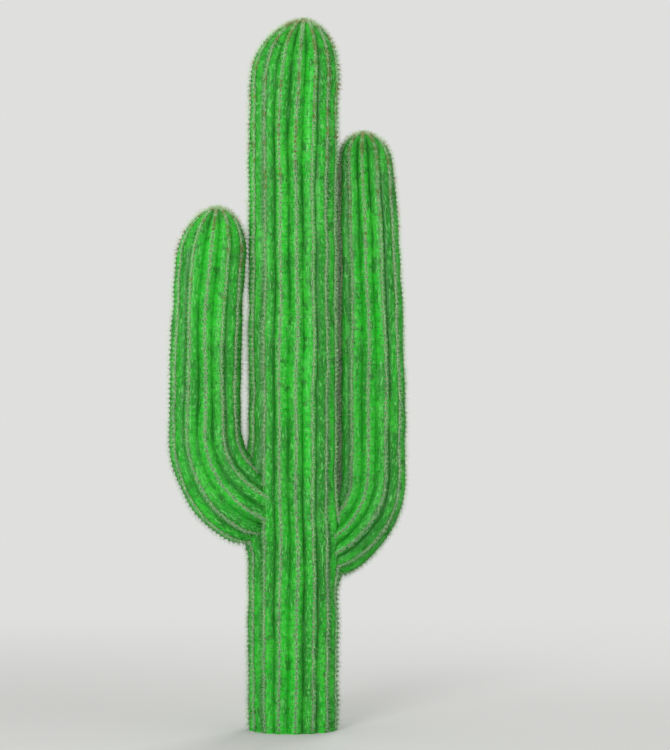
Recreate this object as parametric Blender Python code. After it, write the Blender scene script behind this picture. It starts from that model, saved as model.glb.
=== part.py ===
"""A column cactus, ribbed, with two arms that turn up beside the trunk, rooted in level ground.

Blender 4.5, metres, +Z up. The origin is the middle of the flat cut under the trunk, at ground level.
The trunk stands on +Z and -Y is the front. One arm leaves the trunk towards -X, the other towards +X.
Every stem is one formula: a centre line, a radius along it, and ribs round it.
"""

import math
from dataclasses import dataclass

import bmesh
import bpy
import numpy as np
from mathutils import Matrix, Vector

# Driving dimensions of the plant
HEIGHT = 5.00
TRUNK_RADIUS = 0.315
TRUNK_RIBS = 17
ARM_RIBS = 13
GROUND = 0.0

# Ribs: how deep a groove is, and how its flank bends from the crest to the groove
RIB_DEPTH = 0.034
RIB_CURVE = 1.7
POINTS_PER_RIB = 4
DOME_RIB_POWER = 0.7

# An arm's root is narrow where it leaves the trunk's heart
NECK_SHARE = 0.58
NECK_LENGTH = 0.36

# Where along its centre line an arm's elbow is thickest, and how far the swelling reaches
ELBOW_PLACE = 0.50
ELBOW_WIDTH = 0.25

# Spines, fewer and larger than life: each stands for the sprays on a stretch of rib
SPINE_STEP = 0.30
SPINE_LENGTH = 0.056
SPINE_SUNK = 0.014
SPINE_RADIUS = 0.0075
SPINE_SIDES = 3
SPINE_DROOP = math.radians(18)
SPINE_CLEAR = 0.012

# Gap kept between an arm and the trunk that carries it
SEAT_GAP = 0.00046

# Spacing of the rings that make a stem, and of the points of its centre line
STRAIGHT_RING = 0.42
BEND_RING = 0.075
DOME_RINGS = 7
LINE_STEP = 0.005
WELD = 0.00001

# Surfaces: the skin is waxy and the spines are dry, both dull; edges sharper than this stay sharp
SKIN_ROUGHNESS = 0.5
SPINE_COLOUR = (0.62, 0.56, 0.38, 1.0)
SPINE_ROUGHNESS = 0.7
SHARP_ANGLE = math.radians(50)


@dataclass(frozen=True)
class Stem:
    """One ribbed stem: its centre line lies in the upright plane at an azimuth through the trunk's axis.

    Its radius shrinks by the share `taper` up to its dome, and its tip leans outward by `lean`.
    An arm's upright part stands at `reach` from the trunk's axis, above a bend that starts at `bend_height`,
    and its elbow is thicker by the share `elbow`.
    """

    name: str
    ribs: int
    azimuth: float
    radius: float
    taper: float
    taper_power: float
    dome: float
    top: float
    lean: float
    lean_power: float
    colour: tuple
    reach: float = 0.0
    bend_radius: float = 0.0
    bend_height: float = 0.0
    bend_turn: float = 0.0
    elbow: float = 0.0

    @property
    def is_arm(self):
        return self.reach > 0


TRUNK = Stem(
    name="trunk",
    ribs=TRUNK_RIBS,
    azimuth=0.0,
    radius=TRUNK_RADIUS,
    taper=0.015,
    taper_power=1.0,
    dome=0.42,
    top=HEIGHT,
    lean=0.070,
    lean_power=21.0,
    colour=(0.040, 0.310, 0.034, 1.0),
)
LEFT_ARM = Stem(
    name="left_arm",
    ribs=ARM_RIBS,
    azimuth=math.radians(188),
    radius=0.260,
    taper=0.062,
    taper_power=1.0,
    dome=0.36,
    top=3.674,
    lean=-0.083,
    lean_power=2.7,
    colour=(0.036, 0.290, 0.030, 1.0),
    reach=0.621,
    bend_radius=0.60,
    bend_height=2.108,
    bend_turn=math.radians(62),
    elbow=0.12,
)
RIGHT_ARM = Stem(
    name="right_arm",
    ribs=ARM_RIBS,
    azimuth=math.radians(16),
    radius=0.2445,
    taper=0.19,
    taper_power=3.3,
    dome=0.225,
    top=4.217,
    lean=-0.058,
    lean_power=2.5,
    colour=(0.036, 0.300, 0.032, 1.0),
    reach=0.5775,
    bend_radius=0.56,
    bend_height=1.795,
    bend_turn=math.radians(62),
)
STEMS = (TRUNK, LEFT_ARM, RIGHT_ARM)


class CentreLine:
    """The centre line of a stem as closely spaced points, read by distance from its foot or root.

    The lean shifts the stem's rings sideways and doesn't tilt them.
    """

    def __init__(self, stem):
        outward = np.array([math.cos(stem.azimuth), math.sin(stem.azimuth), 0.0])
        self.side = np.array([-outward[1], outward[0], 0.0])
        straight = outline_in_plane(stem) @ np.array([outward, [0.0, 0.0, 1.0]])
        steps = np.linalg.norm(np.diff(straight, axis=0), axis=1)
        self.distance = np.concatenate([[0.0], np.cumsum(steps)])
        self.length = self.distance[-1]
        slopes = np.gradient(straight, self.distance, axis=0)
        self.tangents = slopes / np.linalg.norm(slopes, axis=1)[:, None]
        rise = (straight[:, 2] - stem.bend_height) / (stem.top - stem.bend_height)
        shift = stem.lean * np.clip(rise, 0.0, 1.0) ** stem.lean_power
        self.points = straight + shift[:, None] * outward

    def read(self, distance):
        """Returns the point at a distance along the line, and the normal there in the stem's plane."""
        point = np.array([np.interp(distance, self.distance, self.points[:, k]) for k in range(3)])
        tangent = np.array([np.interp(distance, self.distance, self.tangents[:, k]) for k in range(3)])
        return point, np.cross(self.side, tangent / np.linalg.norm(tangent))


def outline_in_plane(stem):
    """Returns the centre line with no lean as (distance from the trunk's axis, height), root to tip."""
    if not stem.is_arm:
        rise = np.linspace(GROUND, stem.top, math.ceil(stem.top / LINE_STEP) + 1)
        return np.column_stack([np.zeros_like(rise), rise])
    middle = stem.reach - stem.bend_radius
    turn = np.linspace(stem.bend_turn, 0.0, math.ceil(stem.bend_turn * stem.bend_radius / LINE_STEP) + 1)
    bend = np.column_stack(
        [
            middle + stem.bend_radius * np.cos(turn),
            stem.bend_height - stem.bend_radius * np.sin(turn),
        ]
    )
    run = bend[0, 0]
    slope = 1.0 / math.tan(stem.bend_turn)
    out = np.linspace(0.0, run, math.ceil(run / LINE_STEP) + 1)[:-1]
    root = np.column_stack([out, bend[0, 1] - (run - out) * slope])
    upright = stem.top - stem.bend_height
    rise = np.linspace(stem.bend_height, stem.top, math.ceil(upright / LINE_STEP) + 1)[1:]
    return np.vstack([root, bend, np.column_stack([np.full_like(rise, stem.reach), rise])])


def crest_radius(stem, distance, length):
    """Returns the stem's radius at its rib crests: tapering, round at the tip, shaped at an arm's root."""
    share = min(distance / (length - stem.dome), 1.0)
    radius = stem.radius * (1.0 - stem.taper * share**stem.taper_power)
    if stem.is_arm:
        near = min(distance / NECK_LENGTH, 1.0)
        radius *= NECK_SHARE + (1.0 - NECK_SHARE) * near * near * (3.0 - 2.0 * near)
        radius *= 1.0 + stem.elbow * math.exp(-(((distance - ELBOW_PLACE) / ELBOW_WIDTH) ** 2))
    into_dome = max(0.0, distance - (length - stem.dome)) / stem.dome
    return radius * math.sqrt(max(0.0, 1.0 - into_dome * into_dome))


def rib_depth(stem, distance, length):
    """Returns how deep the grooves are: full along the stem, fading to nothing at the tip."""
    full = stem.radius * (1.0 - stem.taper)
    share = min(crest_radius(stem, distance, length) / full, 1.0)
    return RIB_DEPTH * share**DOME_RIB_POWER


def surface_point(stem, line, distance, turn, grow=0.0):
    """Returns the point of the ribbed surface at a distance along the stem and a share of a turn round it."""
    point, normal = line.read(distance)
    across = 2.0 * abs(turn * stem.ribs - round(turn * stem.ribs))
    depth = rib_depth(stem, distance, line.length) * across**RIB_CURVE
    radius = crest_radius(stem, distance, line.length) - depth
    if radius > 0:
        radius += grow
    angle = 2.0 * math.pi * turn
    return Vector(point + max(radius, 0.0) * (math.cos(angle) * normal + math.sin(angle) * line.side))


def ring_distances(stem, line):
    """Returns where the rings lie: close in the bend and the dome, wide apart where the stem is straight."""
    dome_start = line.length - stem.dome
    bend_end = 0.0
    if stem.is_arm:
        upright = stem.top - stem.bend_height
        bend_end = line.length - upright
    rings = list(np.linspace(0.0, bend_end, math.ceil(bend_end / BEND_RING) + 1))
    straight = math.ceil((dome_start - bend_end) / STRAIGHT_RING)
    rings += list(np.linspace(bend_end, dome_start, straight + 1))[1:]
    for ring in range(1, DOME_RINGS + 1):
        rings.append(dome_start + stem.dome * math.sin(math.pi / 2 * ring / DOME_RINGS))
    return rings


def new_object(name, shape, material, collection):
    """Writes a bmesh to a new object in a collection, shaded smooth but for its sharp edges."""
    mesh = bpy.data.meshes.new(name)
    shape.to_mesh(mesh)
    shape.free()
    mesh.materials.append(material)
    mesh.shade_smooth()
    mesh.set_sharp_from_angle(angle=SHARP_ANGLE)
    made = bpy.data.objects.new(name, mesh)
    collection.objects.link(made)
    return made


def ribbed_stem(stem, line, name, material, collection, grow=0.0):
    """Wraps a flat grid round the stem's centre line, welds its seam and its tip, and caps its foot."""
    columns = stem.ribs * POINTS_PER_RIB
    rings = ring_distances(stem, line)
    shape = bmesh.new()
    bmesh.ops.create_grid(shape, x_segments=columns, y_segments=len(rings) - 1, size=0.5)
    for vertex in shape.verts:
        turn = round((vertex.co.x + 0.5) * columns) / columns
        ring = round((vertex.co.y + 0.5) * (len(rings) - 1))
        vertex.co = surface_point(stem, line, rings[ring], turn % 1.0, grow)
    bmesh.ops.remove_doubles(shape, verts=shape.verts, dist=WELD)
    foot = [edge for edge in shape.edges if edge.is_boundary]
    bmesh.ops.holes_fill(shape, edges=foot)
    return new_object(name, shape, material, collection)


def near_stem(point, stem, line, clear):
    """Tells whether a point lies inside a stem, or nearer to it than a clearance."""
    away = np.linalg.norm(line.points - np.array(point), axis=1)
    nearest = int(away.argmin())
    return away[nearest] < crest_radius(stem, line.distance[nearest], line.length) + clear


def spine_places(stem, line):
    """Yields (distance, turn) for the spines: along each rib's crest, staggered from rib to rib."""
    start = NECK_LENGTH if stem.is_arm else SPINE_STEP / 2
    count = math.floor((line.length - stem.dome / 2 - start) / SPINE_STEP)
    for rib in range(stem.ribs):
        stagger = SPINE_STEP / 2 * (rib % 2)
        for row in range(count + 1):
            yield start + stagger + row * SPINE_STEP, rib / stem.ribs


def spine_aim(stem, line, distance, turn):
    """Returns where a spine stands on its rib's crest, and its direction, which droops a little."""
    foot = surface_point(stem, line, distance, turn)
    ahead = surface_point(stem, line, distance + LINE_STEP, turn)
    along = (ahead - foot).normalized()
    centre, _ = line.read(distance)
    outward = foot - Vector(centre)
    outward = (outward - outward.dot(along) * along).normalized()
    return foot, outward * math.cos(SPINE_DROOP) - along * math.sin(SPINE_DROOP)


def spines(stem, line, others, material, collection):
    """Makes all of a stem's spines as one helper mesh, leaving out those that would reach another stem."""
    shape = bmesh.new()
    for distance, turn in spine_places(stem, line):
        foot, aim = spine_aim(stem, line, distance, turn)
        tip = foot + aim * (SPINE_LENGTH - SPINE_SUNK)
        if any(near_stem(tip, other, other_line, SPINE_CLEAR) for other, other_line in others):
            continue
        middle = foot + aim * (SPINE_LENGTH / 2 - SPINE_SUNK)
        bmesh.ops.create_cone(
            shape,
            cap_ends=True,
            segments=SPINE_SIDES,
            radius1=SPINE_RADIUS,
            radius2=0.0,
            depth=SPINE_LENGTH,
            matrix=Matrix.Translation(middle) @ aim.to_track_quat("Z", "Y").to_matrix().to_4x4(),
        )
    return new_object(f"{stem.name}_spines", shape, material, collection)


def join(body, helper, operation):
    """Adds a Boolean modifier that joins a helper to a body, or cuts the body with it."""
    modifier = body.modifiers.new(helper.name, "BOOLEAN")
    modifier.operation = operation
    modifier.solver = "EXACT"
    modifier.material_mode = "TRANSFER"
    modifier.object = helper
    helper.hide_render = True
    helper.display_type = "WIRE"


def plain_material(name, colour, roughness):
    """Makes a dull material of one colour."""
    material = bpy.data.materials.new(name)
    material.use_nodes = True
    shader = material.node_tree.nodes["Principled BSDF"]
    shader.inputs["Base Color"].default_value = colour
    shader.inputs["Roughness"].default_value = roughness
    shader.inputs["Metallic"].default_value = 0.0
    material.diffuse_color = colour
    return material


def new_collection(name):
    """Makes a collection in the scene."""
    collection = bpy.data.collections.new(name)
    bpy.context.scene.collection.children.link(collection)
    return collection


def build():
    """Builds the trunk and both arms."""
    for old in list(bpy.data.objects):
        bpy.data.objects.remove(old)
    plant = new_collection("cactus")
    helpers = new_collection("helpers")
    spine_skin = plain_material("spine", SPINE_COLOUR, SPINE_ROUGHNESS)
    skins = {stem.name: plain_material(f"{stem.name}_skin", stem.colour, SKIN_ROUGHNESS) for stem in STEMS}
    lines = {stem.name: CentreLine(stem) for stem in STEMS}
    trunk_seat = ribbed_stem(TRUNK, lines["trunk"], "trunk_seat", skins["trunk"], helpers, grow=SEAT_GAP)
    for stem in STEMS:
        line = lines[stem.name]
        body = ribbed_stem(stem, line, stem.name, skins[stem.name], plant)
        others = [(other, lines[other.name]) for other in STEMS if other is not stem]
        join(body, spines(stem, line, others, spine_skin, helpers), "UNION")
        if stem.is_arm:
            join(body, trunk_seat, "DIFFERENCE")


build()
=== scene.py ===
"""The looks of a grown saguaro cactus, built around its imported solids.

Metres, +Z up. The origin is at ground level under the trunk, and -Y is the front.
Each stem is drawn again by its solid's own formula, with many more points and the relief of a living
stem: ribs that wander a little, swellings under the felt pads, and slow changes of girth. Pads and spines
stand on it.
"""

import logging
import math
from dataclasses import dataclass, field
from enum import Enum
from typing import Any, ClassVar, Union

import bpy
import numpy as np
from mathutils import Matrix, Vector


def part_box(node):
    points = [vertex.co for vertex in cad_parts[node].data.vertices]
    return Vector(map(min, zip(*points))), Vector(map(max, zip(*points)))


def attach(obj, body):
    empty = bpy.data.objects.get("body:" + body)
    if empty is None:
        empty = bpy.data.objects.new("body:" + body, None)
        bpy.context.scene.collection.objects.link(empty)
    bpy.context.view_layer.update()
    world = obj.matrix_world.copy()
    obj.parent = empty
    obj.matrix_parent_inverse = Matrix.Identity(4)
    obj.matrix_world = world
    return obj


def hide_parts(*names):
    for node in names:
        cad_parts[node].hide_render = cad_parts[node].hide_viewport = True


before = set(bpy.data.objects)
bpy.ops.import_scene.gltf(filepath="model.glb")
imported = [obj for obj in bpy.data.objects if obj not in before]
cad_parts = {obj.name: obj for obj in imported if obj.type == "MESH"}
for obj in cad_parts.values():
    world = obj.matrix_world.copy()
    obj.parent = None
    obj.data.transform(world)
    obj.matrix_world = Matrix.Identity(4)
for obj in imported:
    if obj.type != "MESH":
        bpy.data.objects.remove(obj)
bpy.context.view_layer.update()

Colour = tuple[float, float, float, float]
Number = Union[float, "Signal"]
Place = tuple[float, float, float]
Span = tuple[float, float]

BODY = "root"
FULL_TURN = 2.0 * math.pi
FULL_COMPASS = 360.0

# Ribs, as on the solids
RIB_DEPTH = 0.034
RIB_CURVE = 1.7
DOME_RIB_POWER = 0.7
LINE_STEP = 0.005

# Where along its centre line an arm's elbow is thickest, and how far the swelling reaches
ELBOW_PLACE = 0.50
ELBOW_WIDTH = 0.25

# Gaps to a stem are measured from every few points of its line, for this many places at a time
LINE_STRIDE = 3
BATCH = 20000

# The turn from one pad of a crown to the next, as on a sunflower's head
GOLDEN_TURN = (3.0 - math.sqrt(5.0)) / 2.0

# The length of a quarter circle for each metre of the straight line between its ends
QUARTER_ARC = math.pi / math.sqrt(8.0)

# The shortest length that a vector is divided by
TINY = 1e-12

# The numbers of a Mix node's two colour inputs and of its colour output
MIX_UNDER = 6
MIX_OVER = 7
MIX_RESULT = 2


def smooth(share: np.ndarray) -> np.ndarray:
    """Returns a share from 0 to 1 eased at both ends."""
    held = np.clip(share, 0.0, 1.0)
    return held * held * (3.0 - 2.0 * held)


def unit(vectors: np.ndarray) -> np.ndarray:
    """Returns the vectors at length 1."""
    return vectors / np.maximum(np.linalg.norm(vectors, axis=-1, keepdims=True), TINY)


@dataclass(frozen=True)
class Wave:
    """A slow change over a stem: its height, its length along the stem, and its lobes round the stem."""

    height: float
    length: float
    lobes: int = 0

    def read(self, distance: np.ndarray, turn: np.ndarray, phase: float) -> np.ndarray:
        """Returns the wave at points given by their distance along the stem and their turn round it."""
        return self.height * np.sin(FULL_TURN * (distance / self.length + self.lobes * turn) + phase)


# Waves in rib widths, in shares of the rib's depth, and in metres
RIB_WANDER = (Wave(0.055, 1.9, 2), Wave(0.035, 0.83, 3))
DEPTH_CHANGES = (Wave(0.08, 0.9, 3), Wave(0.06, 0.37, -4))
GIRTH_CHANGES = (Wave(0.0025, 0.67), Wave(0.0014, 0.29), Wave(0.0014, 0.41, 4), Wave(0.0014, 0.23, -5))


@dataclass(frozen=True)
class Pattern:
    """Soft noise on a stem's skin: its patches a metre across and along the stem, and its finer layers."""

    across: float
    along: float
    detail: float = 2.0


class Signal:
    """One output of a shader's node. Python arithmetic on it adds Math nodes."""

    def __init__(self, shader: "Shader", socket: bpy.types.NodeSocket) -> None:
        """Keeps the shader and its output socket."""
        self.shader = shader
        self.socket = socket

    def math(self, operation: str, first: Number, second: Number) -> "Signal":
        """Returns the result of a Math node on two numbers or signals."""
        return self.shader.signal("ShaderNodeMath", {"operation": operation}, {0: first, 1: second})

    def __add__(self, other: Number) -> "Signal":
        """Returns this plus the other."""
        return self.math("ADD", self, other)

    def __radd__(self, other: Number) -> "Signal":
        """Returns the other plus this."""
        return self.math("ADD", other, self)

    def __sub__(self, other: Number) -> "Signal":
        """Returns this less the other."""
        return self.math("SUBTRACT", self, other)

    def __rsub__(self, other: Number) -> "Signal":
        """Returns the other less this."""
        return self.math("SUBTRACT", other, self)

    def __mul__(self, other: Number) -> "Signal":
        """Returns this times the other."""
        return self.math("MULTIPLY", self, other)

    def __rmul__(self, other: Number) -> "Signal":
        """Returns the other times this."""
        return self.math("MULTIPLY", other, self)

    def ramp(self, span: Span) -> "Signal":
        """Eases this between two values.

        Args:
            span: the value that gives 0 and the value that gives 1.

        Returns:
            The eased share.
        """
        settings = {"interpolation_type": "SMOOTHSTEP"}
        values = {"Value": self, "From Min": span[0], "From Max": span[1]}
        return self.shader.signal("ShaderNodeMapRange", settings, values)


class Shader:
    """A material whose nodes are written as Python expressions."""

    def __init__(self, name: str) -> None:
        """Starts an empty material.

        Args:
            name: the material's name.
        """
        self.material = bpy.data.materials.new(name)
        self.material.use_nodes = True
        self.tree = self.material.node_tree
        self.tree.nodes.clear()

    def node(self, kind: str, settings: dict[str, Any], values: dict[Any, Any]) -> bpy.types.Node:
        """Adds a node.

        Args:
            kind: the node's type.
            settings: its own settings, which are set first.
            values: the value or signal of each input socket, by name or index.

        Returns:
            The node.
        """
        made = self.tree.nodes.new(kind)
        for name, value in settings.items():
            setattr(made, name, value)
        for name, value in values.items():
            if isinstance(value, Signal):
                self.tree.links.new(value.socket, made.inputs[name])
            else:
                made.inputs[name].default_value = value
        return made

    def signal(self, kind: str, settings: dict[str, Any], values: dict[Any, Any], output: Any = 0) -> Signal:
        """Adds a node and returns one of its outputs, chosen by name or index."""
        return Signal(self, self.node(kind, settings, values).outputs[output])

    def read(self, attribute: str, output: str = "Fac") -> Signal:
        """Returns a number, or with the output Vector a vector, that the mesh carries at its points."""
        return self.signal("ShaderNodeAttribute", {"attribute_name": attribute}, {}, output)

    def mix(self, share: Number, under: Any, over: Any) -> Signal:
        """Returns the first colour covered by the second as far as the share says."""
        values = {0: share, MIX_UNDER: under, MIX_OVER: over}
        return self.signal("ShaderNodeMix", {"data_type": "RGBA"}, values, MIX_RESULT)

    def noise(self, place: Signal, pattern: Pattern) -> Signal:
        """Adds soft noise.

        Args:
            place: the position that it is laid on.
            pattern: how fine it is.

        Returns:
            The noise, about 0.5 on average.
        """
        values = {0: place, 1: (pattern.across, pattern.across, pattern.along)}
        scaled = self.signal("ShaderNodeVectorMath", {"operation": "MULTIPLY"}, values)
        values = {"Vector": scaled, "Scale": 1.0, "Detail": pattern.detail}
        return self.signal("ShaderNodeTexNoise", {}, values)

    def bump(self, height: Signal) -> Signal:
        """Returns the normal of a surface raised by a height in metres."""
        return self.signal("ShaderNodeBump", {}, {"Height": height, "Distance": 1.0})

    def finish(self, surface: Signal) -> bpy.types.Material:
        """Links the surface to the material's output and returns the material."""
        self.node("ShaderNodeOutputMaterial", {}, {"Surface": surface})
        return self.material


@dataclass(frozen=True)
class WaxySkin:
    """Green skin under a thin wax: pale on the crests, flecked and finely wrinkled, with painted shade dark
    in the grooves and in the wrinkles' creases.
    """

    name: str
    crest: Colour = (0.016, 0.375, 0.015, 1.0)
    flank: Colour = (0.006, 0.300, 0.008, 1.0)
    # groove: painted shade, the dark green laid in the grooves; the dark blemish spots reuse it
    groove: Colour = (0.003, 0.105, 0.004, 1.0)
    fresh: Colour = (0.028, 0.440, 0.020, 1.0)
    # bright: the pale green of the long bands, which stand in part for a painted highlight
    bright: Colour = (0.006, 0.440, 0.010, 1.0)
    # shade: the dark green of bands, patches, freckles and folds; painted shade in the folds' creases and in
    # part in the bands
    shade: Colour = (0.003, 0.130, 0.005, 1.0)
    stain: Colour = (0.030, 0.100, 0.014, 1.0)
    wax: Colour = (0.140, 0.500, 0.125, 1.0)
    bands: Pattern = Pattern(8.0, 0.5, 1.0)
    patches: Pattern = Pattern(7.0, 3.5, 3.0)
    blemishes: Pattern = Pattern(17.0, 11.0, 2.0)
    mottle: Pattern = Pattern(34.0, 26.0, 3.0)
    streaks: Pattern = Pattern(105.0, 28.0, 2.0)
    grain: Pattern = Pattern(230.0, 230.0, 2.0)
    wrinkles: Pattern = Pattern(16.0, 125.0, 3.0)
    flank_span: Span = (0.0, 0.45)
    groove_span: Span = (0.60, 1.0)
    pale_span: Span = (0.50, 0.68)
    dark_span: Span = (0.50, 0.32)
    fleck_span: Span = (0.54, 0.66)
    blemish_span: Span = (0.41, 0.34)
    fold_span: Span = (0.04, 0.5)
    pad_span: Span = (0.15, 0.9)
    young_span: Span = (0.1, 1.0)
    banding: float = 0.75
    patchiness: float = 0.65
    blemish: float = 0.8
    freckles: float = 0.55
    flecks: float = 0.65
    folds: float = 0.7
    staining: float = 0.65
    youth: float = 0.35
    roughness: float = 0.50
    roughness_change: float = 0.35
    noise_middle: float = 0.5
    specular: float = 0.10
    coat: float = 0.10
    coat_roughness: float = 0.32
    wrinkle_height: float = 0.0038
    grain_height: float = 0.0007

    def ribs(self, shader: Shader, place: Signal, groove: Signal) -> Signal:
        """Lays the broad greens of ribs, bands and patches over each other.

        Args:
            shader: the material that is being made.
            place: the position in the stem's own straightened space.
            groove: 0 on a crest and 1 in a groove.

        Returns:
            The colour.
        """
        bands = shader.noise(place, self.bands)
        patches = shader.noise(place, self.patches)
        blemishes = shader.noise(place, self.blemishes)
        ribs = shader.mix(groove.ramp(self.flank_span), self.crest, self.flank)
        # painted shade: the grooves darken to the groove green
        ribs = shader.mix(groove.ramp(self.groove_span), ribs, self.groove)
        # Bands and patches of random tone, laid by the stem's noise start where they stand in part for a
        # painted highlight and painted shade
        ribs = shader.mix(self.banding * bands.ramp(self.pale_span), ribs, self.bright)
        ribs = shader.mix(self.banding * bands.ramp(self.dark_span), ribs, self.shade)
        ribs = shader.mix(self.patchiness * patches.ramp(self.pale_span), ribs, self.fresh)
        ribs = shader.mix(self.patchiness * patches.ramp(self.dark_span), ribs, self.shade)
        ribs = shader.mix(self.youth * shader.read("young").ramp(self.young_span), ribs, self.fresh)
        return shader.mix(self.blemish * blemishes.ramp(self.blemish_span), ribs, self.groove)

    def material(self) -> bpy.types.Material:
        """Makes the material: freckles, folds with painted shade in their creases, wax flecks and stains at
        the pads lie over the ribs' greens.

        Returns:
            The material. All its noise lies in the stem's own straightened space.
        """
        shader = Shader(self.name)
        place = shader.read("own", "Vector")
        groove = shader.read("groove")
        mottle = shader.noise(place, self.mottle)
        wrinkles = shader.noise(place, self.wrinkles)
        grain = shader.noise(place, self.grain)
        streaks = shader.noise(place, self.streaks)
        waxed = self.flecks * streaks.ramp(self.fleck_span) * (1.0 - groove.ramp(self.groove_span))
        stained = self.staining * shader.read("pad").ramp(self.pad_span)
        skin = self.ribs(shader, place, groove)
        skin = shader.mix(self.freckles * mottle.ramp(self.pale_span), skin, self.shade)
        # painted shade: where the wrinkles sink, the skin darkens to the shade green
        skin = shader.mix(self.folds * wrinkles.ramp(self.dark_span), skin, self.shade)
        skin = shader.mix(self.freckles * grain.ramp(self.fleck_span), skin, self.wax)
        skin = shader.mix(waxed, skin, self.wax)
        folds = self.wrinkle_height * groove.ramp(self.fold_span)
        values = {
            "Base Color": shader.mix(stained, skin, self.stain),
            "Roughness": self.roughness + self.roughness_change * (mottle - self.noise_middle),
            "Specular IOR Level": self.specular,
            "Coat Weight": self.coat,
            "Coat Roughness": self.coat_roughness,
            "Normal": shader.bump(wrinkles * folds + grain * self.grain_height),
        }
        return shader.finish(shader.signal("ShaderNodeBsdfPrincipled", {}, values))


@dataclass(frozen=True)
class PlainFinish:
    """One colour and one roughness, for pieces made of many tiny shapes."""

    name: str
    colour: Colour
    roughness: float

    def material(self) -> bpy.types.Material:
        """Makes the material.

        Returns:
            The material.
        """
        shader = Shader(self.name)
        values = {"Base Color": self.colour, "Roughness": self.roughness}
        return shader.finish(shader.signal("ShaderNodeBsdfPrincipled", {}, values))


class Age(Enum):
    """How weathered the spines of a pad are. All lean to the pale green of the photograph's flecks."""

    GREY = PlainFinish("spine_grey", (0.40, 0.60, 0.36, 1.0), 0.70)
    STRAW = PlainFinish("spine_straw", (0.52, 0.76, 0.43, 1.0), 0.55)
    AMBER = PlainFinish("spine_amber", (0.40, 0.42, 0.17, 1.0), 0.50)


FELT = PlainFinish("areole_felt", (0.085, 0.082, 0.040, 1.0), 0.95)


@dataclass
class Stem:
    """What trunk and arms share: a centre line and a girth, by the formula and sizes of the stem's solid.

    The noise on its skin starts `noise_start` metres on, where its light and dark zones lie most like the
    photograph's: its pale and dark bands stand in part for a painted highlight and painted shade.
    """

    name: str
    ribs: int
    azimuth: float
    radius: float
    taper: float
    taper_power: float
    dome: float
    lean: float
    lean_power: float
    noise_start: float
    top: float = field(init=False)
    side: np.ndarray = field(init=False)
    distance: np.ndarray = field(init=False)
    tangents: np.ndarray = field(init=False)
    points: np.ndarray = field(init=False)

    def __post_init__(self) -> None:
        """Works the centre line out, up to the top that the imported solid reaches."""
        self.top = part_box(self.name)[1].z
        outward = np.array([math.cos(self.azimuth), math.sin(self.azimuth), 0.0])
        self.side = np.array([-outward[1], outward[0], 0.0])
        straight = self.line_in_plane() @ np.array([outward, [0.0, 0.0, 1.0]])
        steps = np.linalg.norm(np.diff(straight, axis=0), axis=1)
        self.distance = np.concatenate([[0.0], np.cumsum(steps)])
        self.tangents = unit(np.gradient(straight, self.distance, axis=0))
        rise = (straight[:, 2] - self.lean_start) / (self.top - self.lean_start)
        shift = self.lean * np.clip(rise, 0.0, 1.0) ** self.lean_power
        self.points = straight + shift[:, None] * outward

    @property
    def length(self) -> float:
        """Returns the length of the centre line."""
        return float(self.distance[-1])

    @property
    def lean_start(self) -> float:
        """Returns the height from which the stem leans."""
        return 0.0

    def line_in_plane(self) -> np.ndarray:
        """Returns the centre line with no lean as (distance from the trunk's axis, height), root to tip."""
        rise = np.linspace(0.0, self.top, math.ceil(self.top / LINE_STEP) + 1)
        return np.column_stack([np.zeros_like(rise), rise])

    def read(self, distance: np.ndarray) -> tuple[np.ndarray, np.ndarray]:
        """Reads the centre line.

        Args:
            distance: how far along the line each reading is.

        Returns:
            The points, and the normals there in the stem's own plane.
        """
        points = np.stack([np.interp(distance, self.distance, axis) for axis in self.points.T], -1)
        tangents = np.stack([np.interp(distance, self.distance, axis) for axis in self.tangents.T], -1)
        return points, np.cross(self.side, unit(tangents))

    def crest_radius(self, distance: np.ndarray) -> np.ndarray:
        """Works out the radius at the rib crests: tapering, and round at the tip.

        Args:
            distance: how far along the stem each radius is wanted.

        Returns:
            The radii.
        """
        share = np.minimum(distance / (self.length - self.dome), 1.0)
        radius = self.radius * (1.0 - self.taper * share**self.taper_power)
        into_dome = np.maximum(0.0, distance - (self.length - self.dome)) / self.dome
        return radius * np.sqrt(np.maximum(0.0, 1.0 - into_dome * into_dome))

    def girth_share(self, distance: np.ndarray) -> np.ndarray:
        """Returns the radius as a share of the stem's full one, from 1 along the stem to 0 at the tip."""
        return np.minimum(self.crest_radius(distance) / (self.radius * (1.0 - self.taper)), 1.0)

    def gap_to(self, points: np.ndarray, last: float = math.inf) -> np.ndarray:
        """Measures how far points stand off this stem's crests.

        Args:
            points: the points.
            last: how far along the centre line the stem is looked at.

        Returns:
            The distance of each point, negative inside the stem.
        """
        seen = np.flatnonzero(self.distance <= last)[::LINE_STRIDE]
        line = self.points[seen]
        radius = self.crest_radius(self.distance[seen])
        gaps = []
        for batch in np.array_split(points, max(1, len(points) // BATCH)):
            square = (batch**2).sum(1)[:, None] + (line**2).sum(1) - 2.0 * batch @ line.T
            away = np.sqrt(np.maximum(square, 0.0))
            closest = away.argmin(1)
            gaps.append(away[np.arange(len(batch)), closest] - radius[closest])
        return np.concatenate(gaps)


@dataclass
class Trunk(Stem):
    """The upright stem that carries the arms."""

    slot: ClassVar[str] = "trunk_skin"
    carries_arms: ClassVar[bool] = True
    skin_start: ClassVar[float] = 0.0


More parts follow.
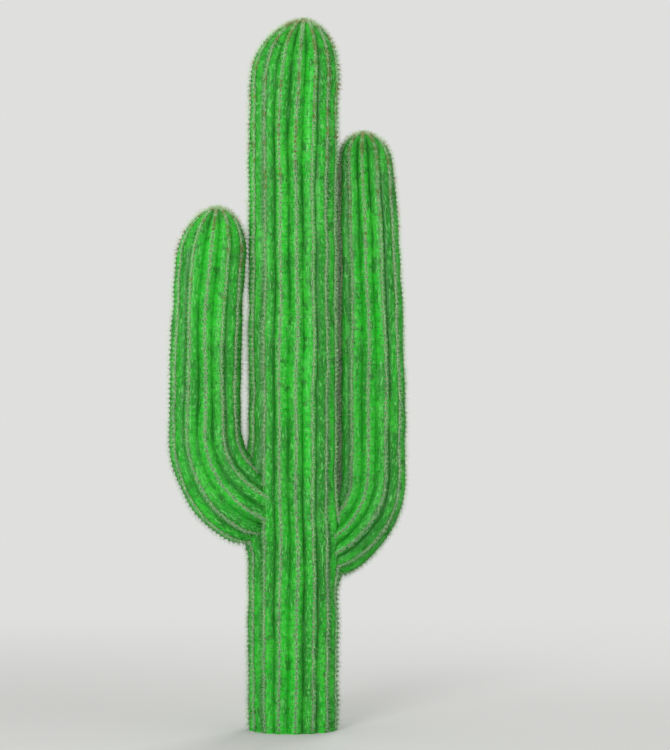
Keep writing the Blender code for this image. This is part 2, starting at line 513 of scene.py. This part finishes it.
@dataclass
class Arm(Stem):
    """A stem that leaves the trunk with a narrow neck, bends up and runs on upright beside it."""

    reach: float
    bend_radius: float
    bend_height: float
    bend_turn: float
    elbow: float = 0.0
    neck_share: float = 0.58
    neck_length: float = 0.36
    slot: ClassVar[str] = "arm_skin"
    carries_arms: ClassVar[bool] = False
    skin_start: ClassVar[float] = 0.12

    @property
    def lean_start(self) -> float:
        """Returns the height from which the arm leans, where its bend ends."""
        return self.bend_height

    def line_in_plane(self) -> np.ndarray:
        """Works out the centre line with no lean: a straight root, an arc, and the upright part.

        Returns:
            Its points as (distance from the trunk's axis, height), root to tip.
        """
        points = math.ceil(self.bend_turn * self.bend_radius / LINE_STEP) + 1
        turn = np.linspace(self.bend_turn, 0.0, points)
        across = self.reach - self.bend_radius + self.bend_radius * np.cos(turn)
        bend = np.column_stack([across, self.bend_height - self.bend_radius * np.sin(turn)])
        run = bend[0, 0]
        out = np.linspace(0.0, run, math.ceil(run / LINE_STEP) + 1)[:-1]
        root = np.column_stack([out, bend[0, 1] - (run - out) / math.tan(self.bend_turn)])
        upright = self.top - self.bend_height
        rise = np.linspace(self.bend_height, self.top, math.ceil(upright / LINE_STEP) + 1)[1:]
        return np.vstack([root, bend, np.column_stack([np.full_like(rise, self.reach), rise])])

    def crest_radius(self, distance: np.ndarray) -> np.ndarray:
        """Works out the radius at the rib crests, which starts narrow at the neck and swells at the elbow.

        Args:
            distance: how far along the stem each radius is wanted.

        Returns:
            The radii.
        """
        neck = self.neck_share + (1.0 - self.neck_share) * smooth(distance / self.neck_length)
        swelling = 1.0 + self.elbow * np.exp(-(((distance - ELBOW_PLACE) / ELBOW_WIDTH) ** 2))
        return neck * swelling * super().crest_radius(distance)


@dataclass
class Pads:
    """Where the felt pads of a stem stand, with their own directions."""

    place: np.ndarray
    outward: np.ndarray
    up: np.ndarray
    girth: np.ndarray

    def only(self, kept: np.ndarray) -> "Pads":
        """Returns the pads that a mask keeps."""
        return Pads(self.place[kept], self.outward[kept], self.up[kept], self.girth[kept])

    @property
    def sideways(self) -> np.ndarray:
        """Returns the directions across the rib."""
        return np.cross(self.up, self.outward)


@dataclass(frozen=True)
class Spray:
    """One kind of spine, and how it stands on its pad. Angles are measured from straight out, in degrees."""

    count: int
    tilt: Span
    length: Span
    radius: float
    curve: float
    aim: float = 0.0
    spread: float = FULL_COMPASS

    @property
    def free_turn(self) -> float:
        """Returns how far the whole spray may be turned on its pad: not at all where it has an aim."""
        return self.spread if self.spread >= FULL_COMPASS else 0.0


SPRAYS = (
    Spray(13, (56.0, 84.0), (0.015, 0.029), radius=0.0011, curve=0.0),
    Spray(5, (12.0, 46.0), (0.028, 0.048), radius=0.0014, curve=0.06),
    Spray(1, (50.0, 68.0), (0.044, 0.068), radius=0.0017, curve=0.10, aim=180.0, spread=70.0),
)


def write_mesh(name: str, points: np.ndarray, faces: list[list[int]]) -> bpy.types.Object:
    """Makes an object of a mesh in the scene.

    Args:
        name: the object's name.
        points: the mesh's points.
        faces: the point numbers of each face.

    Returns:
        The object.
    """
    mesh = bpy.data.meshes.new(name)
    mesh.from_pydata(points.reshape(-1, 3).tolist(), [], faces)
    mesh.update()
    made = bpy.data.objects.new(name, mesh)
    bpy.context.scene.collection.objects.link(made)
    return made


def write_attribute(mesh: bpy.types.Mesh, name: str, values: np.ndarray) -> None:
    """Stores a number or a vector at each point of a mesh.

    Args:
        mesh: the mesh.
        name: the attribute's name.
        values: a number or a vector for each point.
    """
    kind, key = ("FLOAT", "value") if values.ndim == 1 else ("FLOAT_VECTOR", "vector")
    layer = mesh.attributes.new(name, kind, "POINT")
    layer.data.foreach_set(key, values.astype(np.float32).ravel())


def settle(piece: bpy.types.Object, material: bpy.types.Material) -> None:
    """Gives a piece its material and its body, and reports it.

    Args:
        piece: the piece.
        material: the material that it wears.
    """
    piece.data.materials.append(material)
    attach(piece, BODY)
    triangles = sum(len(face.vertices) - 2 for face in piece.data.polygons)
    logging.info("%s: %d triangles", piece.name, triangles)


@dataclass
class RibbedSkin:
    """The closed skin of one stem, as a grid of rings and columns."""

    stem: Union[Trunk, Arm]
    others: list[Stem]
    seed: int
    ring_step: float = 0.0093
    columns_per_rib: int = 10
    pad_step: float = 0.034
    tip_pad_share: float = 0.55
    pad_stagger: float = 0.5
    pad_scatter: float = 0.15
    first_pad: float = 0.4
    tip_bare: float = 0.9
    pad_clear: float = 0.010
    crown_pads: int = 9
    crown_reach: float = 0.024
    swelling: float = 0.0028
    stain_length: float = 0.011
    stain_width: float = 0.22
    dome_groove: float = 1.5
    collar_height: float = 0.022
    collar_width: float = 0.075
    collar_reach: float = 0.50
    foot_length: float = 0.2
    foot_disc: float = 0.05
    disc_margin: float = 0.1
    sharp_angle: float = math.radians(80)
    chance: np.random.Generator = field(init=False)
    columns: int = field(init=False)
    rings: np.ndarray = field(init=False)
    turns: np.ndarray = field(init=False)
    across: np.ndarray = field(init=False)
    girth: np.ndarray = field(init=False)
    directions: np.ndarray = field(init=False)
    radii: np.ndarray = field(init=False)
    count: np.ndarray = field(init=False)
    points: np.ndarray = field(init=False)

    def __post_init__(self) -> None:
        """Works the whole grid out: `across` is 0 on a crest and 1 in a groove, `count` numbers the pads."""
        stem = self.stem
        self.chance = np.random.default_rng(self.seed)
        self.columns = stem.ribs * self.columns_per_rib
        self.rings = self.ring_distances()
        self.turns = np.arange(self.columns) / self.columns
        self.across = 2.0 * np.abs(self.turns * stem.ribs - np.round(self.turns * stem.ribs))
        self.girth = stem.girth_share(self.rings)
        self.directions = self.spokes()
        depth = RIB_DEPTH * self.girth[:, None] ** DOME_RIB_POWER * (1.0 + self.waves(DEPTH_CHANGES))
        self.radii = stem.crest_radius(self.rings)[:, None] - depth * self.across**RIB_CURVE
        self.count = self.pad_numbers()
        self.radii = self.radii + self.relief()
        self.points = self.grid()
        if stem.carries_arms:
            self.points += self.collars()

    def ring_distances(self) -> np.ndarray:
        """Spaces the rings evenly along the stem, then closer and closer towards the tip.

        Returns:
            How far along the stem each ring lies.
        """
        stem = self.stem
        dome_start = stem.length - stem.dome
        even = math.ceil((dome_start - stem.skin_start) / self.ring_step) + 1
        arc = QUARTER_ARC * math.hypot(stem.dome, stem.radius)
        turn = np.linspace(0.0, math.pi / 2.0, math.ceil(arc / self.ring_step) + 1)[1:]
        along = np.linspace(stem.skin_start, dome_start, even)
        return np.concatenate([along, dome_start + stem.dome * np.sin(turn)])

    def waves(self, waves: tuple[Wave, ...]) -> np.ndarray:
        """Returns the sum of some waves over the grid, each with a phase of its own."""
        phases = self.chance.uniform(0.0, FULL_TURN, len(waves))
        return sum(wave.read(self.rings[:, None], self.turns, phase) for wave, phase in zip(waves, phases))

    def spokes(self) -> np.ndarray:
        """Works out the direction from the centre line to each point of the grid, with ribs that wander.

        Returns:
            The directions.
        """
        angle = FULL_TURN * (self.turns + self.waves(RIB_WANDER) / self.stem.ribs)[..., None]
        _, normals = self.stem.read(self.rings)
        return np.cos(angle) * normals[:, None, :] + np.sin(angle) * self.stem.side

    def grid(self) -> np.ndarray:
        """Returns the points of the grid, ring by ring."""
        centres, _ = self.stem.read(self.rings)
        return centres[:, None, :] + self.radii[..., None] * self.directions

    def pad_numbers(self) -> np.ndarray:
        """Counts the pads passed along each rib's crest.

        Returns:
            The count of each rib at each ring, with its fraction.
        """
        crests = self.grid()[:, :: self.columns_per_rib]
        steps = np.linalg.norm(np.diff(crests, axis=0), axis=2)
        girth = (self.girth[1:] + self.girth[:-1]) / 2.0
        pitch = self.pad_step * (self.tip_pad_share + (1.0 - self.tip_pad_share) * girth)
        passed = np.concatenate([np.zeros((1, self.stem.ribs)), np.cumsum(steps / pitch[:, None], axis=0)])
        stagger = self.pad_stagger * (np.arange(self.stem.ribs) % 2)
        return passed + stagger + self.chance.uniform(-self.pad_scatter, self.pad_scatter, self.stem.ribs)

    def nearest_count(self) -> np.ndarray:
        """Returns the pad count of the rib nearest to each column."""
        rib = np.round(self.turns * self.stem.ribs).astype(int) % self.stem.ribs
        return self.count[:, rib]

    def relief(self) -> np.ndarray:
        """Works out how far each point stands off the plain ribbed form: not at all at the foot and the tip.

        Returns:
            The heights.
        """
        swell = 0.5 + 0.5 * np.cos(FULL_TURN * self.nearest_count())
        relief = self.swelling * swell * (1.0 - self.across) ** 2 + self.waves(GIRTH_CHANGES)
        risen = smooth((self.rings - self.stem.skin_start) / self.foot_length)
        return relief * (self.girth**2 * risen)[:, None]

    def collars(self) -> np.ndarray:
        """Works out how the trunk's skin swells softly towards the arms that leave it.

        Returns:
            The shift of each point.
        """
        flat = self.points.reshape(-1, 3)
        swell = np.zeros(len(flat))
        for arm in self.others:
            gap = np.maximum(arm.gap_to(flat, self.collar_reach), 0.0)
            swell = np.maximum(swell, np.exp(-((gap / self.collar_width) ** 2)))
        return self.collar_height * swell.reshape(*self.points.shape[:2], 1) * self.directions

    def pads(self) -> Pads:
        """Reads off where the felt pads stand: at each whole pad number along every crest, and in the crown.

        Returns:
            The pads.
        """
        rings, columns = [], []
        for rib, count in enumerate(self.count.T):
            whole = np.arange(math.ceil(count[0] + self.first_pad), math.floor(count[-1] - self.tip_bare) + 1)
            rings.append(np.interp(whole, count, np.arange(len(count))))
            columns.append(np.full(len(whole), rib * self.columns_per_rib))
        number = np.arange(self.crown_pads)
        reach = self.crown_reach * np.sqrt((number + 0.5) / self.crown_pads)
        rings.append(np.interp(-reach, -self.radii[:, 0], np.arange(len(self.rings))))
        columns.append(np.round(number * GOLDEN_TURN * self.columns).astype(int) % self.columns)
        return self.read_pads(np.concatenate(rings), np.concatenate(columns))

    def read_pads(self, ring: np.ndarray, column: np.ndarray) -> Pads:
        """Reads places and directions off the grid.

        Args:
            ring: the ring that each pad stands at, as a number with a fraction.
            column: its column.

        Returns:
            The pads that no other stem covers.
        """
        low = np.minimum(np.floor(ring).astype(int), len(self.rings) - 2)
        share = (ring - low)[:, None]
        place = self.points[low, column] * (1.0 - share) + self.points[low + 1, column] * share
        up = unit(self.points[low + 1, column] - self.points[np.maximum(low - 1, 0), column])
        after = self.points[low, (column + 1) % self.columns]
        before = self.points[low, column - 1]
        outward = unit(np.cross(after - before, up))
        covered = np.logical_or.reduce([other.gap_to(place) < self.pad_clear for other in self.others])
        return Pads(place, outward, up, self.girth[low]).only(~covered)

    def faces(self) -> list[list[int]]:
        """Lists the faces of the closed skin.

        Returns:
            Quads between the rings, a fan of triangles at the tip, and a cap at the foot.
        """
        ring = np.arange(len(self.rings) - 2)[:, None] * self.columns
        column = np.arange(self.columns)
        following = (column + 1) % self.columns
        above = ring + self.columns
        corners = (ring + column, ring + following, above + following, above + column)
        quads = np.stack(corners, -1).reshape(-1, 4)
        last = (len(self.rings) - 2) * self.columns
        tip = np.full(self.columns, last + self.columns)
        fan = np.stack([last + column, last + following, tip], -1)
        return quads.tolist() + fan.tolist() + [column[::-1].tolist()]

    def at_points(self, values: np.ndarray) -> np.ndarray:
        """Returns numbers or vectors of the grid as those of the mesh, whose last ring is one point."""
        return np.concatenate([values[:-1].reshape(-1, *values.shape[2:]), values[-1, :1]])

    def lay_out(self, mesh: bpy.types.Mesh) -> None:
        """Gives the skin a flat map: its length and its turn fill the map, over a small disc for the foot.

        Args:
            mesh: the skin's mesh.
        """
        corners = np.empty(len(mesh.loops), dtype=np.int64)
        mesh.loops.foreach_get("vertex_index", corners)
        quads_end = (len(self.rings) - 2) * self.columns * 4
        fan_end = quads_end + self.columns * 3
        turn = (corners % self.columns) / self.columns
        along = (corners // self.columns) / (len(self.rings) - 1)
        quads = turn[:quads_end].reshape(-1, 4)
        quads[quads[:, 1] < quads[:, 0], 1:3] = 1.0
        fan = turn[quads_end:fan_end].reshape(-1, 3)
        fan[-1, 1] = 1.0
        fan[:, 2] = (fan[:, 0] + fan[:, 1]) / 2.0
        flat = np.stack([turn, self.foot_disc + (1.0 - self.foot_disc) * along], -1)
        angle = FULL_TURN * turn[fan_end:]
        round_trip = np.stack([np.cos(angle), np.sin(angle)], -1)
        flat[fan_end:] = self.foot_disc / 2.0 * (1.0 + (1.0 - self.disc_margin) * round_trip)
        layer = mesh.uv_layers.new(name="OFBake")
        layer.uv.foreach_set("vector", flat.astype(np.float32).ravel())

    def mark(self, mesh: bpy.types.Mesh) -> None:
        """Writes down what the finish reads at each point: groove, pad, youth and place on the stem.

        The place is that on the straightened stem, moved along it to where the stem's noise starts.

        Args:
            mesh: the skin's mesh.
        """
        count = self.nearest_count()
        along = (count - np.round(count)) * self.pad_step
        pad = np.exp(-((along / self.stain_length) ** 2) - (self.across / self.stain_width) ** 2)
        girth = np.broadcast_to(self.girth[:, None], pad.shape)
        groove = self.across * np.minimum(girth * self.dome_groove, 1.0)
        rings = np.broadcast_to(self.rings[:, None], pad.shape)
        angle = FULL_TURN * self.turns
        along_noise = self.stem.noise_start + rings
        own = np.stack([self.radii * np.cos(angle), self.radii * np.sin(angle), along_noise], -1)
        write_attribute(mesh, "groove", self.at_points(groove))
        write_attribute(mesh, "pad", self.at_points(pad))
        write_attribute(mesh, "young", self.at_points(1.0 - girth))
        write_attribute(mesh, "own", self.at_points(own))

    def build(self) -> None:
        """Makes the skin, which stands for the stem's solid, and dresses it."""
        piece = write_mesh(f"{self.stem.name}_skin", self.at_points(self.points), self.faces())
        self.mark(piece.data)
        self.lay_out(piece.data)
        piece.data.shade_smooth()
        piece.data.set_sharp_from_angle(angle=self.sharp_angle)
        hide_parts(self.stem.name)
        settle(piece, WaxySkin(f"{self.stem.name}_wax").material())


@dataclass
class Thorns:
    """Many spines: where each leaves its pad and aims, how its outer half turns aside, and its length."""

    foot: np.ndarray
    aim: np.ndarray
    curl: np.ndarray
    length: np.ndarray
    sides: ClassVar[int] = 3
    middle: ClassVar[float] = 0.5
    early_curl: ClassVar[float] = 0.35
    waist: ClassVar[float] = 0.68
    steep: ClassVar[float] = 0.9

    @property
    def tip(self) -> np.ndarray:
        """Returns the points where the spines end."""
        return self.foot + self.length[:, None] * unit(self.aim + self.curl)

    def only(self, kept: np.ndarray) -> "Thorns":
        """Returns the spines that a mask keeps."""
        return Thorns(self.foot[kept], self.aim[kept], self.curl[kept], self.length[kept])

    def points(self, radius: float, sunk: float) -> np.ndarray:
        """Works out the points of the spines: a ring in the felt, one half way out if they curl, and a tip.

        Args:
            radius: half the thickness at the foot.
            sunk: how deep the foot is sunk.

        Returns:
            The points of each spine.
        """
        steep = np.abs(self.aim[:, 2:]) > self.steep
        first = unit(np.cross(self.aim, np.where(steep, [[1.0, 0.0, 0.0]], [[0.0, 0.0, 1.0]])))
        second = np.cross(self.aim, first)
        angle = FULL_TURN * np.arange(self.sides)[None, :, None] / self.sides
        ring = radius * (np.cos(angle) * first[:, None, :] + np.sin(angle) * second[:, None, :])
        base = (self.foot - sunk * self.aim)[:, None, :] + ring
        tip = self.tip[:, None, :]
        if not self.curl.any():
            return np.concatenate([base, tip], axis=1)
        early = unit(self.aim + self.early_curl * self.curl)
        bend = self.foot + self.middle * self.length[:, None] * early
        return np.concatenate([base, bend[:, None, :] + self.waist * ring, tip], axis=1)


def thorn_faces(points: int) -> np.ndarray:
    """Lists the triangles of one spine.

    Args:
        points: how many points it has: a ring and a tip, or two rings and a tip.

    Returns:
        The triangles.
    """
    sides = Thorns.sides
    faces = [list(range(sides))[::-1]]
    for corner in range(sides):
        following = (corner + 1) % sides
        lower = 0
        if points > sides + 1:
            faces.append([corner, following, sides + following])
            faces.append([corner, sides + following, sides + corner])
            lower = sides
        faces.append([lower + corner, lower + following, points - 1])
    return np.array(faces)


def cushion_faces(sides: int) -> np.ndarray:
    """Lists the triangles of one felt pad.

    Args:
        sides: how many sides its outline has.

    Returns:
        The triangles of a flat foot, upright sides and a low top.
    """
    faces = [[0, corner + 1, corner] for corner in range(1, sides - 1)]
    for corner in range(sides):
        following = (corner + 1) % sides
        faces.append([corner, following, sides + following])
        faces.append([corner, sides + following, sides + corner])
        faces.append([sides + corner, sides + following, 2 * sides])
    return np.array(faces)


def repeat(pattern: np.ndarray, shapes: np.ndarray, first: int = 0) -> list[list[int]]:
    """Returns one shape's triangles repeated for each shape of a set, with points numbered from the first."""
    starts = first + np.arange(len(shapes)) * shapes.shape[1]
    return (starts[:, None, None] + pattern[None]).reshape(-1, 3).tolist()


@dataclass
class SpinyCrests:
    """The felt pads of one stem and the sprays of spines that stand on them."""

    stem: Stem
    others: list[Stem]
    pads: Pads
    seed: int
    pad_width: float = 0.011
    pad_length: float = 0.015
    pad_height: float = 0.0035
    pad_sides: int = 6
    pad_sizes: Span = (0.85, 1.2)
    shoulder_height: float = 0.6
    shoulder_width: float = 0.82
    tip_size: float = 0.75
    sunk: float = 0.002
    foot_ring: float = 0.0025
    foot_rise: float = 0.001
    foot_places: Span = (0.2, 0.8)
    droop: float = 0.12
    tip_lift: float = 0.9
    spine_clear: float = 0.003
    ground_clear: float = 0.004
    age_scatter: float = 0.5
    age_rise: float = 0.75
    age_steps: Span = (0.46, 1.04)
    chance: np.random.Generator = field(init=False)
    ages: np.ndarray = field(init=False)

    def __post_init__(self) -> None:
        """Deals out an age to the spines of each pad: greyer low down, amber towards the tip."""
        self.chance = np.random.default_rng(self.seed)
        height = self.pads.place[:, 2]
        rise = (height - height.min()) / (height.max() - height.min())
        draw = self.age_scatter * self.chance.random(len(rise)) + self.age_rise * rise
        self.ages = np.digitize(draw, self.age_steps)

    def young_size(self, pads: Pads) -> np.ndarray:
        """Returns how large what grows on each pad is: full along the stem, smaller at its tip."""
        return self.tip_size + (1.0 - self.tip_size) * pads.girth

    def build_felt(self) -> None:
        """Makes all felt pads as one piece of small oval cushions."""
        pads = self.pads
        angle = FULL_TURN * np.arange(self.pad_sides)[None, :, None] / self.pad_sides
        size = self.young_size(pads) * self.chance.uniform(*self.pad_sizes, len(pads.girth))
        across = self.pad_width / 2.0 * np.cos(angle) * pads.sideways[:, None, :]
        along = self.pad_length / 2.0 * np.sin(angle) * pads.up[:, None, :]
        outline = size[:, None, None] * (across + along)
        place = pads.place[:, None, :]
        outward = pads.outward[:, None, :]
        top = place + self.pad_height * outward
        foot = place - self.sunk * outward + outline
        shoulder = place + self.shoulder_height * self.pad_height * outward + self.shoulder_width * outline
        points = np.concatenate([foot, shoulder, top], axis=1)
        piece = write_mesh(f"{self.stem.name}_felt", points, repeat(cushion_faces(self.pad_sides), points))
        piece.data.shade_smooth()
        settle(piece, FELT.material())

    def draw(self, spray: Spray, pads: Pads) -> Thorns:
        """Draws the spines of one kind for a set of pads.

        Args:
            spray: the kind of spine.
            pads: the pads that carry them.

        Returns:
            The spines.
        """
        shape = (len(pads.girth), spray.count)
        start = spray.aim - spray.spread / 2.0 + spray.free_turn * self.chance.random((shape[0], 1))
        spaced = (np.arange(spray.count) + self.chance.uniform(*self.foot_places, shape)) / spray.count
        compass = np.radians(start + spaced * spray.spread)[..., None]
        tilt = np.radians(self.chance.uniform(*spray.tilt, shape))[..., None]
        length = self.chance.uniform(*spray.length, shape) * self.young_size(pads)[:, None]
        up = pads.up[:, None, :]
        outward = pads.outward[:, None, :]
        flat = np.cos(compass) * up + np.sin(compass) * pads.sideways[:, None, :]
        lift = (self.tip_lift * (1.0 - pads.girth) - self.droop)[:, None, None]
        aim = unit(np.cos(tilt) * outward + np.sin(tilt) * flat + lift * up)
        foot = pads.place[:, None, :] + self.foot_ring * flat + self.foot_rise * outward
        curl = np.broadcast_to(-spray.curve * up, aim.shape)
        return Thorns(foot.reshape(-1, 3), aim.reshape(-1, 3), curl.reshape(-1, 3), length.reshape(-1))

    def clear(self, thorns: Thorns) -> np.ndarray:
        """Tells which spines keep off the other stems and the ground.

        Args:
            thorns: the spines.

        Returns:
            True for each that is free.
        """
        tip = thorns.tip
        middle = (thorns.foot + tip) / 2.0
        free = tip[:, 2] > self.ground_clear
        for other in self.others:
            free &= (other.gap_to(tip) > self.spine_clear) & (other.gap_to(middle) > self.spine_clear)
        return free

    def build_spines(self, age: Age) -> None:
        """Makes all spines of one age as one piece.

        Args:
            age: the age that is built.
        """
        pads = self.pads.only(self.ages == list(Age).index(age))
        points, faces, first = [], [], 0
        for spray in SPRAYS:
            thorns = self.draw(spray, pads)
            made = thorns.only(self.clear(thorns)).points(spray.radius, self.sunk)
            faces += repeat(thorn_faces(made.shape[1]), made, first)
            points.append(made.reshape(-1, 3))
            first += len(points[-1])
        piece = write_mesh(f"{self.stem.name}_spines_{age.name.lower()}", np.vstack(points), faces)
        piece.data.shade_smooth()
        settle(piece, age.value.material())

    def build(self) -> None:
        """Makes the felt, and the spines of every age."""
        self.build_felt()
        for age in Age:
            self.build_spines(age)


@dataclass(frozen=True)
class Lamp:
    """A square soft light: where it stands, its side and its power in watts."""

    name: str
    place: Place
    size: float
    watts: float

    def build(self, height: float) -> None:
        """Adds the light.

        Args:
            height: the height on the plant's axis that it is aimed at.
        """
        data = bpy.data.lights.new(self.name, "AREA")
        data.size = self.size
        data.energy = self.watts
        lamp = bpy.data.objects.new(self.name, data)
        lamp.location = self.place
        aim = np.array([0.0, 0.0, height]) - self.place
        turn = math.atan2(aim[1], aim[0]) - math.pi / 2.0
        drop = math.atan2(aim[2], math.hypot(aim[0], aim[1]))
        lamp.rotation_euler = (math.pi / 2.0 + drop, 0.0, turn)
        lamp.visible_camera = False
        bpy.context.scene.collection.objects.link(lamp)


@dataclass(frozen=True)
class Studio:
    """A plain pale floor that runs into the pale surroundings, soft lights, and the photograph's camera."""

    centre: Span = (0.297, 2.503)
    frame_height: float = 5.296
    camera_distance: float = 22.0
    camera_reach: float = 300.0
    sensor: float = 36.0
    pale: Colour = (0.74, 0.74, 0.73, 1.0)
    floor_colour: Colour = (0.52, 0.52, 0.51, 1.0)
    floor_roughness: float = 0.9
    floor_radius: float = 90.0
    floor_sides: int = 96
    floor_fade: Span = (2.0, 11.0)
    lamps: tuple[Lamp, ...] = (
        Lamp("key", (-3.0, -11.1, 4.6), 3.0, 960.0),
        Lamp("fill", (8.0, -7.0, 2.0), 5.0, 120.0),
        Lamp("back", (3.0, 9.0, 8.0), 4.0, 500.0),
    )

    def floor(self) -> None:
        """Makes the floor: it takes the light near the plant, and is as pale as its surroundings far out."""
        angle = FULL_TURN * np.arange(self.floor_sides) / self.floor_sides
        ring = self.floor_radius * np.stack([np.cos(angle), np.sin(angle), np.zeros_like(angle)], -1)
        piece = write_mesh("floor", ring, [list(range(self.floor_sides))])
        shader = Shader("pale_floor")
        place = shader.signal("ShaderNodeTexCoord", {}, {}, "Object")
        away = shader.signal("ShaderNodeVectorMath", {"operation": "LENGTH"}, {0: place}, "Value")
        values = {"Base Color": self.floor_colour, "Roughness": self.floor_roughness}
        near = shader.signal("ShaderNodeBsdfPrincipled", {}, values)
        far = shader.signal("ShaderNodeEmission", {}, {"Color": self.pale, "Strength": 1.0})
        both = shader.signal("ShaderNodeMixShader", {}, {0: away.ramp(self.floor_fade), 1: near, 2: far})
        piece.data.materials.append(shader.finish(both))

    def surroundings(self) -> None:
        """Sets the pale surroundings and a plain colour transform."""
        world = bpy.data.worlds.new("pale")
        world.use_nodes = True
        background = world.node_tree.nodes["Background"]
        background.inputs["Color"].default_value = self.pale
        background.inputs["Strength"].default_value = 1.0
        bpy.context.scene.world = world
        bpy.context.scene.view_settings.view_transform = "Standard"

    def camera(self) -> None:
        """Sets the camera level, straight in front, with the plant framed as the photograph frames it."""
        data = bpy.data.cameras.new("camera")
        data.sensor_width = self.sensor
        data.lens = self.sensor * self.camera_distance / self.frame_height
        data.clip_end = self.camera_reach
        camera = bpy.data.objects.new("camera", data)
        camera.location = (self.centre[0], -self.camera_distance, self.centre[1])
        camera.rotation_euler = (math.pi / 2.0, 0.0, 0.0)
        bpy.context.scene.collection.objects.link(camera)
        bpy.context.scene.camera = camera

    def build(self) -> None:
        """Sets up floor, surroundings, lights and camera."""
        self.floor()
        self.surroundings()
        for lamp in self.lamps:
            lamp.build(self.centre[1])
        self.camera()


@dataclass(frozen=True)
class Cactus:
    """The whole plant: a trunk and two arms, each with its skin, felt and spines."""

    trunk_ribs: int = 17
    arm_ribs: int = 13
    skin_seed: int = 11
    spine_seed: int = 31

    def stems(self) -> list[Stem]:
        """Sets the three stems up.

        Returns:
            The stems, with the sizes of their solids.
        """
        trunk = Trunk(
            name="trunk",
            ribs=self.trunk_ribs,
            azimuth=0.0,
            radius=0.315,
            taper=0.015,
            taper_power=1.0,
            dome=0.42,
            lean=0.070,
            lean_power=21.0,
            noise_start=114.9,
        )
        left_arm = Arm(
            name="left_arm",
            ribs=self.arm_ribs,
            azimuth=math.radians(188),
            radius=0.260,
            taper=0.062,
            taper_power=1.0,
            dome=0.36,
            lean=-0.083,
            lean_power=2.7,
            noise_start=228.1,
            reach=0.621,
            bend_radius=0.60,
            bend_height=2.108,
            bend_turn=math.radians(62),
            elbow=0.12,
        )
        right_arm = Arm(
            name="right_arm",
            ribs=self.arm_ribs,
            azimuth=math.radians(16),
            radius=0.2445,
            taper=0.19,
            taper_power=3.3,
            dome=0.225,
            lean=-0.058,
            lean_power=2.5,
            noise_start=235.8,
            reach=0.5775,
            bend_radius=0.56,
            bend_height=1.795,
            bend_turn=math.radians(62),
        )
        return [trunk, left_arm, right_arm]

    def build(self) -> None:
        """Builds every stem in turn."""
        stems = self.stems()
        for number, stem in enumerate(stems):
            others = [other for other in stems if other is not stem]
            skin = RibbedSkin(stem, others, self.skin_seed + number)
            skin.build()
            SpinyCrests(stem, others, skin.pads(), self.spine_seed + number).build()


def main() -> None:
    """Builds the studio and the plant."""
    logging.basicConfig(level=logging.INFO, format="%(message)s")
    Studio().build()
    Cactus().build()


if __name__ == "__main__":
    main()
